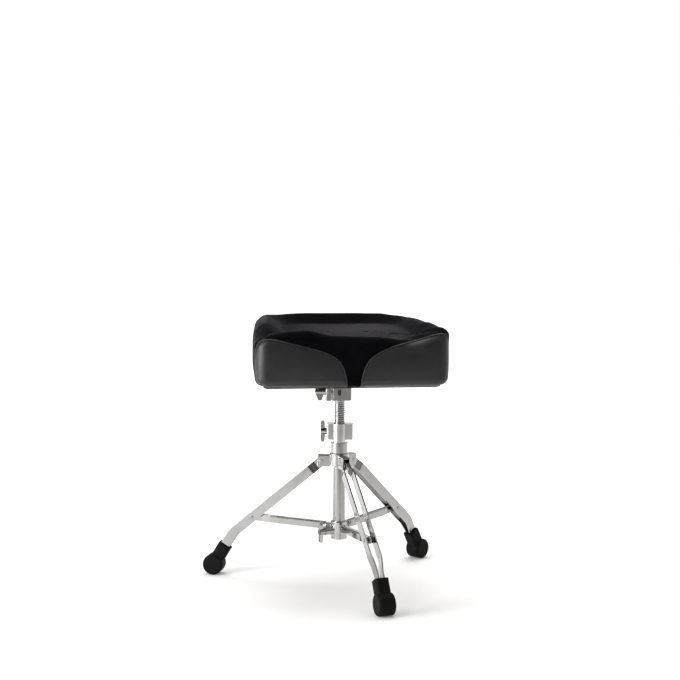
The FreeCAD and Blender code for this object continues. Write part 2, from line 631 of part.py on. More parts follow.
# ---- seat ---------------------------------------------------------------------------------
def seat_outline(inset):
    """The seat's plan: a wide, nearly straight front with round corners and a round back."""
    half = SEAT_HALF_WIDTH - inset
    rear_half = SEAT_REAR_HALF_WIDTH - inset
    front = -SEAT_FRONT + inset
    rear = SEAT_REAR - inset
    points = [(0, front), (half, front), (rear_half, rear), (-rear_half, rear), (-half, front), (0, front)]
    radii = [FRONT_CORNER_RADIUS - inset, REAR_CORNER_RADIUS - inset]
    radii += list(reversed(radii))
    return rounded_chain(points, radii, lambda x, y: vec(x + SEAT_SHIFT, y, 0))


def seat_prism(inset, low, high):
    wire = Part.Wire(Part.__sortEdges__(seat_outline(inset)))
    wire.translate(vec(0, 0, low))
    return Part.Face(wire).extrude(vec(0, 0, high - low))


def round_bottomed(inset, low, high, radius):
    """The seat's plan drawn up between two heights, with its lower edge rounded."""
    body = seat_prism(inset, low, high)
    return body.makeFillet(radius, [e for e in body.Edges if e.BoundBox.ZMax < low + 0.1])


def seat_board():
    board = seat_prism(BOARD_INSET + SEATED_FIT, SEAT_BOTTOM, SEAT_BOTTOM + BOARD_THICKNESS)
    for x, y in screw_places():
        board = board.cut(cylinder(SCREW_R + SEATED_FIT, SCREW_DEPTH + 1, vec(x, y, SEAT_BOTTOM - 1)))
    return board


def seat_cushion():
    """The foam and its velour top, as one solid with a dished top."""
    bottom = SEAT_BOTTOM + PANEL_THICKNESS
    body = round_bottomed(PANEL_THICKNESS, bottom, SEAT_TOP + 20, BOTTOM_ROUND - PANEL_THICKNESS)
    body = body.cut(seat_prism(BOARD_INSET, bottom - 1, SEAT_BOTTOM + BOARD_THICKNESS))
    body = body.cut(above_line(TOP_LINE))
    rim = [e for e in body.Edges if e.BoundBox.ZMin > TOP_LINE[0][1] - 1]
    body = body.makeFillet(RIM_ROUND, rim)
    centre = vec(SEAT_SHIFT, DISH_CENTRE_Y, SEAT_TOP - DISH_DEPTH + DISH_RADIUS)
    return body.cut(Part.makeSphere(DISH_RADIUS, centre))


def above_line(line):
    """All that lies above a line of (y, height) points, as a prism across the seat."""
    points = [(-400, line[0][1])] + list(line) + [(400, line[-1][1]), (400, 900), (-400, 900)]
    wire = Part.makePolygon([vec(-400, y, z) for y, z in points + points[:1]])
    return Part.Face(wire).extrude(vec(800, 0, 0))


def side_panel(side):
    """One vinyl panel: a skin over one front lobe and its corner, tucked under as far as the board."""
    bottom = SEAT_BOTTOM + PANEL_THICKNESS
    inner = round_bottomed(PANEL_THICKNESS, bottom, SEAT_TOP + 1, BOTTOM_ROUND - PANEL_THICKNESS)
    shell = round_bottomed(0, SEAT_BOTTOM, SEAT_TOP, BOTTOM_ROUND).cut(inner)
    shell = shell.cut(seat_prism(BOARD_INSET, SEAT_BOTTOM - 1, bottom + 1))
    heights = [SEAT_BOTTOM + height for height in PANEL_HEIGHT]
    shell = shell.cut(above_line(((-SEAT_FRONT, heights[0]), (PANEL_END, heights[1]))))
    near, far = SEAT_SHIFT + side * TONGUE_HALF_WIDTH, side * 400
    return shell.common(box((min(near, far), -400, 0), (max(near, far), PANEL_END, 900)))


def bracket_block():
    """The seat's clamp block: bored for the spindle's top, with a through bolt to its left jaw."""
    half = BRACKET_DEPTH / 2
    top = SEAT_BOTTOM - PLATE_THICKNESS
    block = box((BRACKET_LEFT, -half, BRACKET_BOTTOM), (BRACKET_RIGHT, half, top))
    block = block.makeFillet(5.0, edges_along(block, UP, lambda p: True))
    depth = SPINDLE_TOP - BRACKET_BOTTOM + 1
    block = block.cut(cylinder(SPINDLE_D / 2 + SEATED_FIT, depth, vec(0, 0, BRACKET_BOTTOM - 1)))
    width, height = BRACKET_SLOT
    run = height - width
    x = BRACKET_SLOT_X
    low = (x - width / 2, -half - 1, BRACKET_AXIS_Z - run / 2)
    slot = box(low, (x + width / 2, 0, BRACKET_AXIS_Z + run / 2))
    for end in (-run / 2, run / 2):
        slot = slot.fuse(cylinder(width / 2, half + 1, vec(x, 0, BRACKET_AXIS_Z + end), vec(0, -1, 0)))
    bolt = cylinder(WING_STEM_R + RUNNING_FIT, 20, vec(BRACKET_LEFT - 5, 0, BRACKET_AXIS_Z), vec(1, 0, 0))
    return block.cut(slot).cut(bolt)


def bracket_jaw():
    half = BRACKET_DEPTH / 2
    right = BRACKET_LEFT - JAW_GAP
    top = SEAT_BOTTOM - PLATE_THICKNESS - 1
    jaw = box((right - JAW_THICKNESS, -half, BRACKET_BOTTOM), (right, half, top))
    jaw = jaw.makeFillet(4.0, edges_along(jaw, UP, lambda p: p.x < right - 1))
    bolt = cylinder(WING_STEM_R + RUNNING_FIT, 40, vec(right - 30, 0, BRACKET_AXIS_Z), vec(1, 0, 0))
    return jaw.cut(bolt)


def bracket_wing_bolt():
    start = vec(BRACKET_LEFT - JAW_GAP - JAW_THICKNESS, 0, BRACKET_AXIS_Z)
    stem = -start.x - SPINDLE_D / 2 - STEM_TIP_GAP
    return placed_bolt(wing_bolt(BRACKET_WING_SPAN, BRACKET_WING_LENGTH, stem), 180, start)


def screw_places():
    x = PLATE_WIDTH / 2 - SCREW_EDGE
    y = PLATE_LENGTH / 2 - SCREW_EDGE
    return [(sx * x, sy * y) for sx in (-1, 1) for sy in (-1, 1)]


def seat_plate():
    """The steel plate that the clamp block is welded to, screwed up into the board."""
    half_x, half_y = PLATE_WIDTH / 2, PLATE_LENGTH / 2
    plate = box((-half_x, -half_y, SEAT_BOTTOM - PLATE_THICKNESS), (half_x, half_y, SEAT_BOTTOM))
    plate = plate.makeFillet(10.0, edges_along(plate, UP, lambda p: True))
    for x, y in screw_places():
        plate = plate.cut(cylinder(SCREW_R + SEATED_FIT, 10, vec(x, y, SEAT_BOTTOM - 8)))
    return plate


def seat_screws():
    """The four screws that hold the plate: pan heads below it, shanks in the board."""
    radius, height = SCREW_HEAD
    under = SEAT_BOTTOM - PLATE_THICKNESS
    screws = []
    for x, y in screw_places():
        head = cylinder(radius, height, vec(x, y, under - height))
        rim = [e for e in head.Edges if isinstance(e.Curve, Part.Circle) and e.CenterOfMass.z < under - 2]
        shank = cylinder(SCREW_R, PLATE_THICKNESS + SCREW_DEPTH, vec(x, y, under))
        screws.append(head.makeFillet(1.6, rim).fuse(shank))
    return Part.makeCompound(screws)


def stand_nodes():
    """Every piece of the stand by name, in the stand's own frame."""
    nodes = {
        "base_tube": base_tube(),
        "tube_plug": tube_plug(),
        "hub_ring": hub_ring(),
        "hub_pins": hub_pins(),
        "nut_sleeve": nut_sleeve(),
        "spindle_nut": spindle_nut(),
        "sleeve_key": sleeve_key(),
        "upper_clamp": upper_clamp(),
        "clamp_nut": clamp_nut(),
        "upper_washer": upper_washer(),
        "upper_wing_bolt": upper_wing_bolt(),
        "lower_collar": lower_collar(),
        "collar_pins": collar_pins(),
        "collar_washer": collar_washer(),
        "collar_wing_bolt": collar_wing_bolt(),
    }
    strips = {"left": leg_strip(1), "right": leg_strip(-1)}
    spacer = foot_spacer()
    leg_pieces = {
        "hub_lug": hub_lug(),
        "leg_strip_left": strips["left"],
        "leg_strip_right": strips["right"],
        "leg_rivets": leg_rivets(),
        "foot_spacer": spacer,
        "rubber_foot": rubber_foot([strips["left"], strips["right"], spacer]),
        "brace": brace(),
        "brace_spacers": brace_spacers(),
        "brace_pin": brace_pin(),
    }
    for index in range(LEG_COUNT):
        for name, shape in leg_pieces.items():
            nodes["%s_%d" % (name, index + 1)] = turned(shape, leg_azimuth(index))
    return nodes


def seat_nodes():
    return {
        "spindle_guide": spindle_guide(),
        "spindle": spindle(),
        "bracket_block": bracket_block(),
        "bracket_jaw": bracket_jaw(),
        "bracket_wing_bolt": bracket_wing_bolt(),
        "seat_plate": seat_plate(),
        "seat_screws": seat_screws(),
        "seat_board": seat_board(),
        "seat_cushion": seat_cushion(),
        "side_panel_left": side_panel(-1),
        "side_panel_right": side_panel(1),
    }


def write_nodes():
    os.makedirs("parts", exist_ok=True)
    shapes = {name: turned(shape, STAND_TURN) for name, shape in stand_nodes().items()}
    shapes.update(seat_nodes())
    for name, shape in shapes.items():
        shape.exportStep("parts/%s.step" % name)
        print("%-20s %10.1f mm3, valid: %s" % (name, shape.Volume, shape.isValid()))
    print(len(shapes), "nodes")


write_nodes()
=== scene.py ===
import json
import math

import bmesh
import bpy
import numpy as np
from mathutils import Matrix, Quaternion, Vector
from mathutils.kdtree import KDTree


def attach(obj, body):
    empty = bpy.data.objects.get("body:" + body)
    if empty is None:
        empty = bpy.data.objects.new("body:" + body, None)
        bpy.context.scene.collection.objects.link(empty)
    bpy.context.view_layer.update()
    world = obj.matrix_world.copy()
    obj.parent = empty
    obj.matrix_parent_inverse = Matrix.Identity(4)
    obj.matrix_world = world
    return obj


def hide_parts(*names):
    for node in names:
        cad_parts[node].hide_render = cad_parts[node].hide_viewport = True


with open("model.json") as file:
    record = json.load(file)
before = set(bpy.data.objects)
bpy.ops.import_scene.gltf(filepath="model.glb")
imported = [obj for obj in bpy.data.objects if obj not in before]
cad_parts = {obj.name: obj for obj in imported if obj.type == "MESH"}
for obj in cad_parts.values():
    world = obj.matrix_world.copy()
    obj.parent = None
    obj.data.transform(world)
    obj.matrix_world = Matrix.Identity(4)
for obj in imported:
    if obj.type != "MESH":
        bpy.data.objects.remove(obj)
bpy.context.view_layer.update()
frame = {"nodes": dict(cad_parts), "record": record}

nodes = frame["nodes"]
MM = 0.001

# ---- sizes in millimetres, the same as part.py's -------------------------------------------
SEAT_BOTTOM = 464.0
SEAT_SHIFT = 9.0
SEAT_HALF_WIDTH = 216.5
SEAT_FRONT = 150.0
SEAT_REAR = 200.0
SEAT_REAR_HALF_WIDTH = 184.0
FRONT_CORNER_RADIUS = 26.0
REAR_CORNER_RADIUS = 135.0
SPINDLE_RADIUS = 12.5
SPINDLE_LOW = 210.0
SPINDLE_HIGH = 458.0
THREAD_LOW = 231.0
THREAD_HIGH = 418.0
THREAD_PITCH = 5.0
THREAD_DEPTH = 1.3
SHANK_RADIUS = 7.0

# ---- seat shape, in millimetres ------------------------------------------------------------
BOTTOM_ROUND = 16.0
HEM_INSET = 32.0
RIM_ROUND = 20.0
DISH_LEVEL = 573.0
DISH_SLOPE = 0.045
DISH_SIDES = 10.0
DISH_DIP = 6.0
DISH_CENTRE = (9.0, 20.0)
DISH_WALL = 0.27      # share of the way from the rim to the middle
WELT_RADIUS = 1.7
COVER_INSET = 0.8      # of the covers inside the seat's plan
SEAM_CREASE = 1.8      # how far the covers are pulled in at a seam
CREASE_REACH = 5.0
PANEL_PUFF = 1.6       # how far the filling pushes them out away from a seam
PUFF_REACH = 16.0
WALL_BELLY = 1.5       # how far the side bows out at half its height
# the edge of a vinyl panel, from the tongue over the front lobe and down the seat's side:
# distance from the tongue's middle round the outline, and height above the bottom
SEAM = [(14.6, -8.0), (16.0, 5.0), (19.3, 27.5), (25.8, 46.5), (36.7, 62.5), (55.0, 74.5),
        (77.0, 84.0), (110.0, 93.5), (150.0, 105.0), (178.0, 111.0), (194.0, 112.5), (206.0, 110.5),
        (215.0, 104.0), (221.5, 93.0), (226.0, 79.0), (229.0, 62.0), (230.0, 46.0), (229.5, 29.0),
        (227.5, 12.0), (226.0, -8.0)]
# the rim's height round the outline, from the back's middle by the left lobe and the right one
RIM = [(-560, 606.0), (-470, 608.0), (-360, 604.0), (-300, 598.0), (-265, 587.0), (-240, 576.0),
       (-215, 572.0), (-196, 577.0), (-180, 583.0), (-150, 587.0), (-105, 587.5), (-85, 583.5),
       (-68, 578.0), (-45, 574.0), (0, 573.0), (50, 572.0), (85, 568.5), (115, 566.0), (140, 567.0),
       (160, 573.0), (178, 583.0), (195, 590.0), (215, 593.0), (240, 596.0), (300, 600.0),
       (380, 601.0), (470, 601.5), (560, 606.0)]
# the seat leans: the left of the covers sits lower and their bottom edge higher than the right's
TOP_LEAN = 7.0
BOTTOM_LEAN = 1.0
BOTTOM_LIFT = 1.5
LEAN_HEIGHT = 80.0     # from here up the side has all of the top's lean
CORNER_LIFT = 4.0
CORNER_AT = 217.0
CORNER_REACH = 20.0
TONGUE_DROP = 1.0
TONGUE_REACH = 22.0


# ---- small geometry helpers ----------------------------------------------------------------
def smoothstep(t):
    t = np.clip(t, 0.0, 1.0)
    return t * t * (3 - 2 * t)


def catmull(points, per_span):
    """Points along a Catmull-Rom curve through the given ones."""
    pts = np.array([points[0]] + list(points) + [points[-1]], float)
    out = []
    for i in range(1, len(pts) - 2):
        a, b, c, d = pts[i - 1:i + 3]
        for t in np.arange(per_span) / per_span:
            out.append(0.5 * (2 * b + (c - a) * t + (2 * a - 5 * b + 4 * c - d) * t * t
                              + (3 * b - a - 3 * c + d) * t ** 3))
    out.append(pts[-2])
    return np.array(out)


def half_outline():
    """The right half of the seat's plan from front middle to back middle, every 1.5 mm."""
    corners = [(0, -SEAT_FRONT), (SEAT_HALF_WIDTH, -SEAT_FRONT)]
    corners += [(SEAT_REAR_HALF_WIDTH, SEAT_REAR), (0, SEAT_REAR)]
    radii = [FRONT_CORNER_RADIUS, REAR_CORNER_RADIUS]
    pts = [np.array(c, float) for c in corners]
    path = [pts[0]]
    for i, radius in enumerate(radii, start=1):
        a = pts[i - 1] - pts[i]
        b = pts[i + 1] - pts[i]
        a /= np.linalg.norm(a)
        b /= np.linalg.norm(b)
        half = math.acos(np.clip(a @ b, -1, 1)) / 2
        start = pts[i] + a * radius / math.tan(half)
        end = pts[i] + b * radius / math.tan(half)
        centre = pts[i] + (a + b) / np.linalg.norm(a + b) * radius / math.sin(half)
        first = math.atan2(*(start - centre)[::-1])
        sweep = (math.atan2(*(end - centre)[::-1]) - first + math.pi) % (2 * math.pi) - math.pi
        for t in np.linspace(0, 1, 40):
            angle = first + sweep * t
            path.append(centre + radius * np.array([math.cos(angle), math.sin(angle)]))
    path.append(pts[3])
    path = np.array(path)
    steps = np.r_[0, np.cumsum(np.linalg.norm(np.diff(path, axis=0), axis=1))]
    keep = np.r_[True, np.diff(steps) > 1e-6]
    path, steps = path[keep], steps[keep]
    even = np.arange(0, steps[-1], 1.5)
    return np.c_[np.interp(even, steps, path[:, 0]), np.interp(even, steps, path[:, 1])], even, steps[-1]


HALF_POINTS, HALF_STEPS, HALF_LENGTH = half_outline()

RIM_STEPS = np.array([p[0] for p in RIM], float)
RIM_HEIGHTS = np.array([p[1] for p in RIM])
RIM_SPREAD = np.array([-12.0, -6.0, 0.0, 6.0, 12.0])
RIM_WEIGHTS = np.array([0.12, 0.23, 0.30, 0.23, 0.12])


def outline(s):
    """Place and outward normal on the plan, s millimetres from the front's middle (right is +)."""
    side = 1.0 if s >= 0 else -1.0
    s = min(abs(s), HALF_LENGTH - 1e-6)
    ahead, behind = min(s + 2.0, HALF_LENGTH), max(s - 2.0, 0.0)
    x, y = np.interp(s, HALF_STEPS, HALF_POINTS[:, 0]), np.interp(s, HALF_STEPS, HALF_POINTS[:, 1])
    tx = np.interp(ahead, HALF_STEPS, HALF_POINTS[:, 0]) - np.interp(behind, HALF_STEPS, HALF_POINTS[:, 0])
    ty = np.interp(ahead, HALF_STEPS, HALF_POINTS[:, 1]) - np.interp(behind, HALF_STEPS, HALF_POINTS[:, 1])
    if s < 2.0 or s > HALF_LENGTH - 2.5:
        tx, ty = (1.0, 0.0) if s < 2.0 else (-1.0, 0.0)
    length = math.hypot(tx, ty)
    return np.array([SEAT_SHIFT + side * x, y]), np.array([side * ty / length, -tx / length])


def lift(s, h):
    """How much higher than its pattern a point of the side sits."""
    sway = math.sin(math.pi * s / HALF_LENGTH)
    low = BOTTOM_LIFT - BOTTOM_LEAN * sway - TONGUE_DROP * math.exp(-(s / TONGUE_REACH) ** 2)
    low += CORNER_LIFT * math.exp(-((abs(s) - CORNER_AT) / CORNER_REACH) ** 2)
    return low + (TOP_LEAN * sway - low) * min(1.0, max(0.0, h) / LEAN_HEIGHT)


def rim_height(s):
    """Height of the rim's top above the floor before the lift, s millimetres round the outline."""
    rim = np.interp(RIM_SPREAD + s, RIM_STEPS, RIM_HEIGHTS)
    return float(rim @ RIM_WEIGHTS) - lift(s, LEAN_HEIGHT)


def dish_height(x, y):
    """The dish's height: it rises to the back and the sides, and dips toward the front."""
    side = DISH_SIDES * (abs(x - SEAT_SHIFT) / 200) ** 2.2
    return DISH_LEVEL + DISH_SLOPE * (y + 20) + side - DISH_DIP * math.exp(-((y + 120) / 70) ** 2)


def resampled(curve, step):
    """The same flat curve with points at even steps along it."""
    walked = np.r_[0, np.cumsum(np.hypot(*np.diff(curve, axis=0).T))]
    even = np.arange(0, walked[-1], step)
    return np.c_[np.interp(even, walked, curve[:, 0]), np.interp(even, walked, curve[:, 1])]


SEAM_CURVE = resampled(catmull(SEAM, 12), 1.3)


def seam_gap(s, h):
    """Distance in the side's flat plan from a point to the nearest seam."""
    return np.min(np.hypot(SEAM_CURVE[:, 0] - abs(s), SEAM_CURVE[:, 1] - h))


def side_place(s, h):
    """A point on the seat's side, h above its bottom: round at both edges, pulled in at the seams."""
    p, n = outline(s)
    top = rim_height(s) - SEAT_BOTTOM
    inset = COVER_INSET
    z = h
    if h < BOTTOM_ROUND:
        a = max(0.0, h) / BOTTOM_ROUND
        inset += BOTTOM_ROUND * (1 - math.sqrt(max(0.0, 1 - (1 - a) ** 2)))
    start = top - RIM_ROUND
    if h > start:
        angle = (h - start) / RIM_ROUND
        inset += RIM_ROUND * (1 - math.cos(min(angle, math.pi / 2)))
        z = start + RIM_ROUND * math.sin(min(angle, math.pi / 2))
    gap = seam_gap(s, h)
    puff = PANEL_PUFF * (1 - math.exp(-gap / PUFF_REACH)) - SEAM_CREASE * math.exp(-(gap / CREASE_REACH) ** 2)
    belly = WALL_BELLY * math.sin(math.pi * min(1, max(0, h / top)))
    q = p - n * (inset - puff * (0.3 if h > start + 10 else 1.0) - belly)
    return np.array([q[0], q[1], SEAT_BOTTOM + z + lift(s, h)])


def mesh_object(name, verts, faces, material, body, smooth=True):
    mesh = bpy.data.meshes.new(name)
    mesh.from_pydata([tuple(v) for v in verts], [], faces)
    mesh.validate()
    obj = bpy.data.objects.new(name, mesh)
    bpy.context.scene.collection.objects.link(obj)
    bm = bmesh.new()
    bm.from_mesh(mesh)
    bmesh.ops.remove_doubles(bm, verts=bm.verts, dist=1e-5)
    bmesh.ops.delete(bm, geom=[v for v in bm.verts if not v.link_faces], context="VERTS")
    bmesh.ops.recalc_face_normals(bm, faces=bm.faces)
    bm.to_mesh(mesh)
    bm.free()
    for poly in mesh.polygons:
        poly.use_smooth = smooth
    if material:
        mesh.materials.append(material)
    if body:
        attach(obj, body)
    return obj


def grid_faces(rows, columns, closed=False):
    faces = []
    for i in range(rows - 1):
        for j in range(columns if closed else columns - 1):
            k = (j + 1) % columns
            faces.append((i * columns + j, i * columns + k, (i + 1) * columns + k, (i + 1) * columns + j))
    return faces


def tube_mesh(path, radius, sides=8, closed=False):
    """Vertices and faces of a round tube along a path, in metres."""
    path = np.array(path, float)
    count = len(path)
    verts = []
    up = None
    for i in range(count):
        a = path[(i - 1) % count] if closed or i else path[i]
        b = path[(i + 1) % count] if closed or i < count - 1 else path[i]
        t = (b - a) / np.linalg.norm(b - a)
        if up is None:
            up = np.cross(t, [0, 0, 1.0]) if abs(t[2]) < 0.9 else np.cross(t, [1.0, 0, 0])
        up = up - t * (up @ t)
        up /= np.linalg.norm(up)
        side = np.cross(t, up)
        for k in range(sides):
            angle = 2 * math.pi * k / sides
            verts.append(path[i] + radius * (up * math.cos(angle) + side * math.sin(angle)))
    faces = grid_faces(count, sides, closed=True)
    if closed:
        last = (count - 1) * sides
        faces += [(last + j, last + (j + 1) % sides, (j + 1) % sides, j) for j in range(sides)]
    else:
        faces.append(tuple(range(sides))[::-1])
        faces.append(tuple((count - 1) * sides + j for j in range(sides)))
    return verts, faces


# ---- materials -----------------------------------------------------------------------------
class Look:
    """A node material under construction, with one Principled shader."""

    def __init__(self, name, **sockets):
        self.material = bpy.data.materials.new(name)
        self.material.use_nodes = True
        self.tree = self.material.node_tree
        self.shader = self.tree.nodes["Principled BSDF"]
        self.coords = self.tree.nodes.new("ShaderNodeTexCoord")
        self.heights = []
        for key, value in sockets.items():
            self.shader.inputs[key.replace("_", " ")].default_value = value

    def add(self, kind, **settings):
        node = self.tree.nodes.new(kind)
        for key, value in settings.items():
            if hasattr(node, key):
                setattr(node, key, value)
            else:
                node.inputs[key.replace("_", " ")].default_value = value
        return node

    def link(self, a, b):
        self.tree.links.new(a, b)

    def mapped(self, scale):
        node = self.add("ShaderNodeMapping")
        node.inputs["Scale"].default_value = scale
        self.link(self.coords.outputs["Object"], node.inputs["Vector"])
        return node.outputs["Vector"]

    def noise(self, scale, detail=3.0, stretch=(1, 1, 1), rough=0.5):
        node = self.add("ShaderNodeTexNoise", Scale=scale, Detail=detail, Roughness=rough)
        self.link(self.mapped(stretch), node.inputs["Vector"])
        return node.outputs["Fac"]

    def cells(self, scale, feature="DISTANCE_TO_EDGE"):
        node = self.add("ShaderNodeTexVoronoi", feature=feature, Scale=scale)
        self.link(self.mapped((1, 1, 1)), node.inputs["Vector"])
        return node.outputs["Distance"]

    def ramp(self, source, low, high, dark, light):
        node = self.add("ShaderNodeValToRGB")
        node.color_ramp.elements[0].position = low
        node.color_ramp.elements[1].position = high
        node.color_ramp.elements[0].color = dark
        node.color_ramp.elements[1].color = light
        self.link(source, node.inputs["Fac"])
        return node.outputs["Color"]

    def spread(self, source, low, high, socket="Roughness"):
        node = self.add("ShaderNodeMapRange")
        node.inputs["From Min"].default_value = 0.3
        node.inputs["From Max"].default_value = 0.7
        node.inputs["To Min"].default_value = low
        node.inputs["To Max"].default_value = high
        self.link(source, node.inputs["Value"])
        self.link(node.outputs["Result"], self.shader.inputs[socket])

    def colour(self, source):
        self.link(source, self.shader.inputs["Base Color"])

    def bump(self, source, distance, strength=1.0):
        node = self.add("ShaderNodeBump")
        node.inputs["Strength"].default_value = strength
        node.inputs["Distance"].default_value = distance
        self.link(source, node.inputs["Height"])
        if self.heights:
            self.link(self.heights[-1].outputs["Normal"], node.inputs["Normal"])
        self.heights.append(node)
        self.link(node.outputs["Normal"], self.shader.inputs["Normal"])


def grey(v, tint=(1, 1, 1)):
    return (v * tint[0], v * tint[1], v * tint[2], 1.0)


def chrome_look(name, light, rough_low, rough_high, tint=(1, 1, 1), grain=(1, 1, 1)):
    look = Look(name, Metallic=1.0)
    look.colour(look.ramp(look.noise(38, 4), 0.3, 0.72, grey(light * 0.84, tint), grey(light, tint)))
    look.spread(look.noise(160, 5, grain), rough_low, rough_high)
    look.bump(look.noise(900, 2, grain), 0.00003, 0.35)
    return look.material


def rubber_look():
    look = Look("foot_rubber", Specular_IOR_Level=0.10)
    look.colour(look.ramp(look.noise(55, 5), 0.35, 0.7, grey(0.0025), grey(0.005)))
    look.spread(look.noise(140, 4), 0.52, 0.72)
    look.bump(look.noise(1300, 3), 0.00012, 0.5)
    return look.material


def plastic_look():
    look = Look("black_nylon", Specular_IOR_Level=0.45)
    look.colour(look.ramp(look.noise(90, 3), 0.3, 0.7, grey(0.012), grey(0.022)))
    look.spread(look.noise(200, 3), 0.34, 0.5)
    look.bump(look.noise(1500, 2), 0.00006, 0.4)
    return look.material


def paint_look():
    look = Look("black_paint", Specular_IOR_Level=0.5)
    look.colour(look.ramp(look.noise(60, 4), 0.3, 0.7, grey(0.012), grey(0.026)))
    look.spread(look.noise(120, 4), 0.35, 0.5)
    look.bump(look.noise(700, 3), 0.00015, 0.4)
    return look.material


def wood_look():
    look = Look("plywood", Specular_IOR_Level=0.3)
    grain = look.noise(30, 8, (1, 9, 9))
    look.colour(look.ramp(grain, 0.25, 0.8, (0.28, 0.17, 0.085, 1), (0.55, 0.39, 0.22, 1)))
    look.spread(look.noise(60, 4, (1, 9, 9)), 0.6, 0.8)
    look.bump(look.noise(160, 6, (1, 9, 9)), 0.0003, 0.5)
    return look.material


def vinyl_look():
    look = Look("black_vinyl", Specular_IOR_Level=0.44, Coat_Weight=0.10, Coat_Roughness=0.35)
    cool = (1, 1, 1.06)
    look.colour(look.ramp(look.noise(45, 4), 0.3, 0.75, grey(0.0065, cool), grey(0.0105, cool)))
    look.spread(look.noise(70, 4), 0.38, 0.50)
    look.bump(look.cells(950), 0.00022, 0.6)
    look.bump(look.noise(420, 3), 0.00018, 0.35)
    return look.material


def velour_look():
    look = Look("black_velour", Roughness=0.95, Sheen_Weight=0.55, Sheen_Roughness=0.25,
                Specular_IOR_Level=0.04)
    look.shader.inputs["Sheen Tint"].default_value = (0.30, 0.29, 0.33, 1)
    nap = look.noise(26, 5)
    look.colour(look.ramp(nap, 0.3, 0.75, (0.0008, 0.0007, 0.0013, 1), (0.003, 0.0027, 0.0042, 1)))
    look.bump(look.noise(2600, 3), 0.0006, 0.55)
    look.bump(look.noise(70, 4, (1, 1.6, 1)), 0.0012, 0.22)
    return look.material


def cover_look():
    look = Look("dust_cover_cloth", Roughness=0.9, Specular_IOR_Level=0.15)
    look.colour(look.ramp(look.noise(500, 4), 0.35, 0.7, grey(0.010), grey(0.030)))
    look.bump(look.cells(1200), 0.0003, 0.5)
    return look.material


CHROME = chrome_look("chrome_plate", 0.37, 0.05, 0.11, (1, 0.98, 0.95))
CHROME_FLAT = chrome_look("chrome_strip", 0.43, 0.08, 0.16, (1, 0.995, 0.985))
# the upper clamp's chrome is the casting chrome made brighter: painted light, standing in for the stronger
# reflection the clamp catches
CLAMP_PAINTED_LIGHT = chrome_look("chrome_clamp_painted_light", 0.70, 0.09, 0.18, (1, 0.99, 0.97))
CAST = chrome_look("chrome_casting", 0.47, 0.09, 0.18, (1, 0.99, 0.97))
STEEL = chrome_look("zinc_steel", 0.42, 0.18, 0.30, (1, 0.985, 0.96))
RUBBER = rubber_look()
NYLON = plastic_look()
PAINT = paint_look()
WOOD = wood_look()
VINYL = vinyl_look()
VELOUR = velour_look()
COVER = cover_look()

LOOKS = {"chrome": CHROME, "bare_steel": STEEL, "black_steel": PAINT, "black_plastic": NYLON,
         "rubber": RUBBER, "board": WOOD, "velour": VELOUR, "vinyl": VINYL}
CASTINGS = ("bracket", "lower_collar", "nut_sleeve", "hub_", "upper_wing", "collar_wing")
SLOT_OF = {entry["node"]: entry["material_slot"] for entry in frame["record"]["subparts"]}


def paint_node(node, material):
    obj = nodes[node]
    obj.data.materials.clear()
    obj.data.materials.append(material)


for node in nodes:
    look = LOOKS[SLOT_OF[node]]
    # the upper clamp gets the brighter copy of the casting chrome, with painted light in its colour
    if node == "upper_clamp":
        look = CLAMP_PAINTED_LIGHT
    elif node.startswith(CASTINGS):
        look = CAST
    elif look is CHROME and node.startswith(("leg_strip", "brace_")):
        look = CHROME_FLAT
    paint_node(node, look)


# ---- how the filling pushes the covers out -------------------------------------------------
SIM_VOXEL = 0.006
SIM_FRAMES = 20
SIM_LIMIT = 0.004
SIM_NEIGHBOURS = 40
SIM_BLUR = 0.006
FORM_COLUMNS, FORM_ROWS, FORM_RINGS = 240, 24, 20
HELD_HEM = 8.0        # how far up from the bottom the covers are stapled
HELD_SEAM = 5.0       # how near a seam they are sewn down
SLACK_WEIGHT = 0.04


def seat_form():
    """The seat's whole soft shape as one closed skin, in metres."""
    around = [HALF_LENGTH * 2 * i / FORM_COLUMNS - HALF_LENGTH for i in range(FORM_COLUMNS)]
    rings = []
    for row in range(FORM_ROWS + 1):
        ring = []
        for s in around:
            top = rim_height(s) - SEAT_BOTTOM - RIM_ROUND + RIM_ROUND * math.pi / 2
            ring.append(side_place(s, top * row / FORM_ROWS))
        rings.append(ring)
    rings += dished(rings[-1], FORM_RINGS)
    verts = [v * MM for ring in rings for v in ring]
    faces = grid_faces(len(rings), len(around), closed=True)
    faces.append(tuple(range(len(around)))[::-1])
    last = (len(rings) - 1) * len(around)
    faces.append(tuple(last + j for j in range(len(around))))
    return mesh_object("seat_form", verts, faces, None, None)


def pin_weights(obj):
    """Holds the form where the covers are sewn or stapled, and leaves the rest free."""
    group = obj.vertex_groups.new(name="held")
    for vertex in obj.data.vertices:
        x, y, z = vertex.co / MM
        near = np.hypot(OUTLINE_POINTS[:, 0] - x, OUTLINE_POINTS[:, 1] - y)
        k = int(np.argmin(near))
        seam = seam_gap(OUTLINE_STEPS[k], z - SEAT_BOTTOM) if near[k] < 12 else 99
        held = z < SEAT_BOTTOM + HELD_HEM or seam < HELD_SEAM
        group.add([vertex.index], 1.0 if held else SLACK_WEIGHT, "REPLACE")


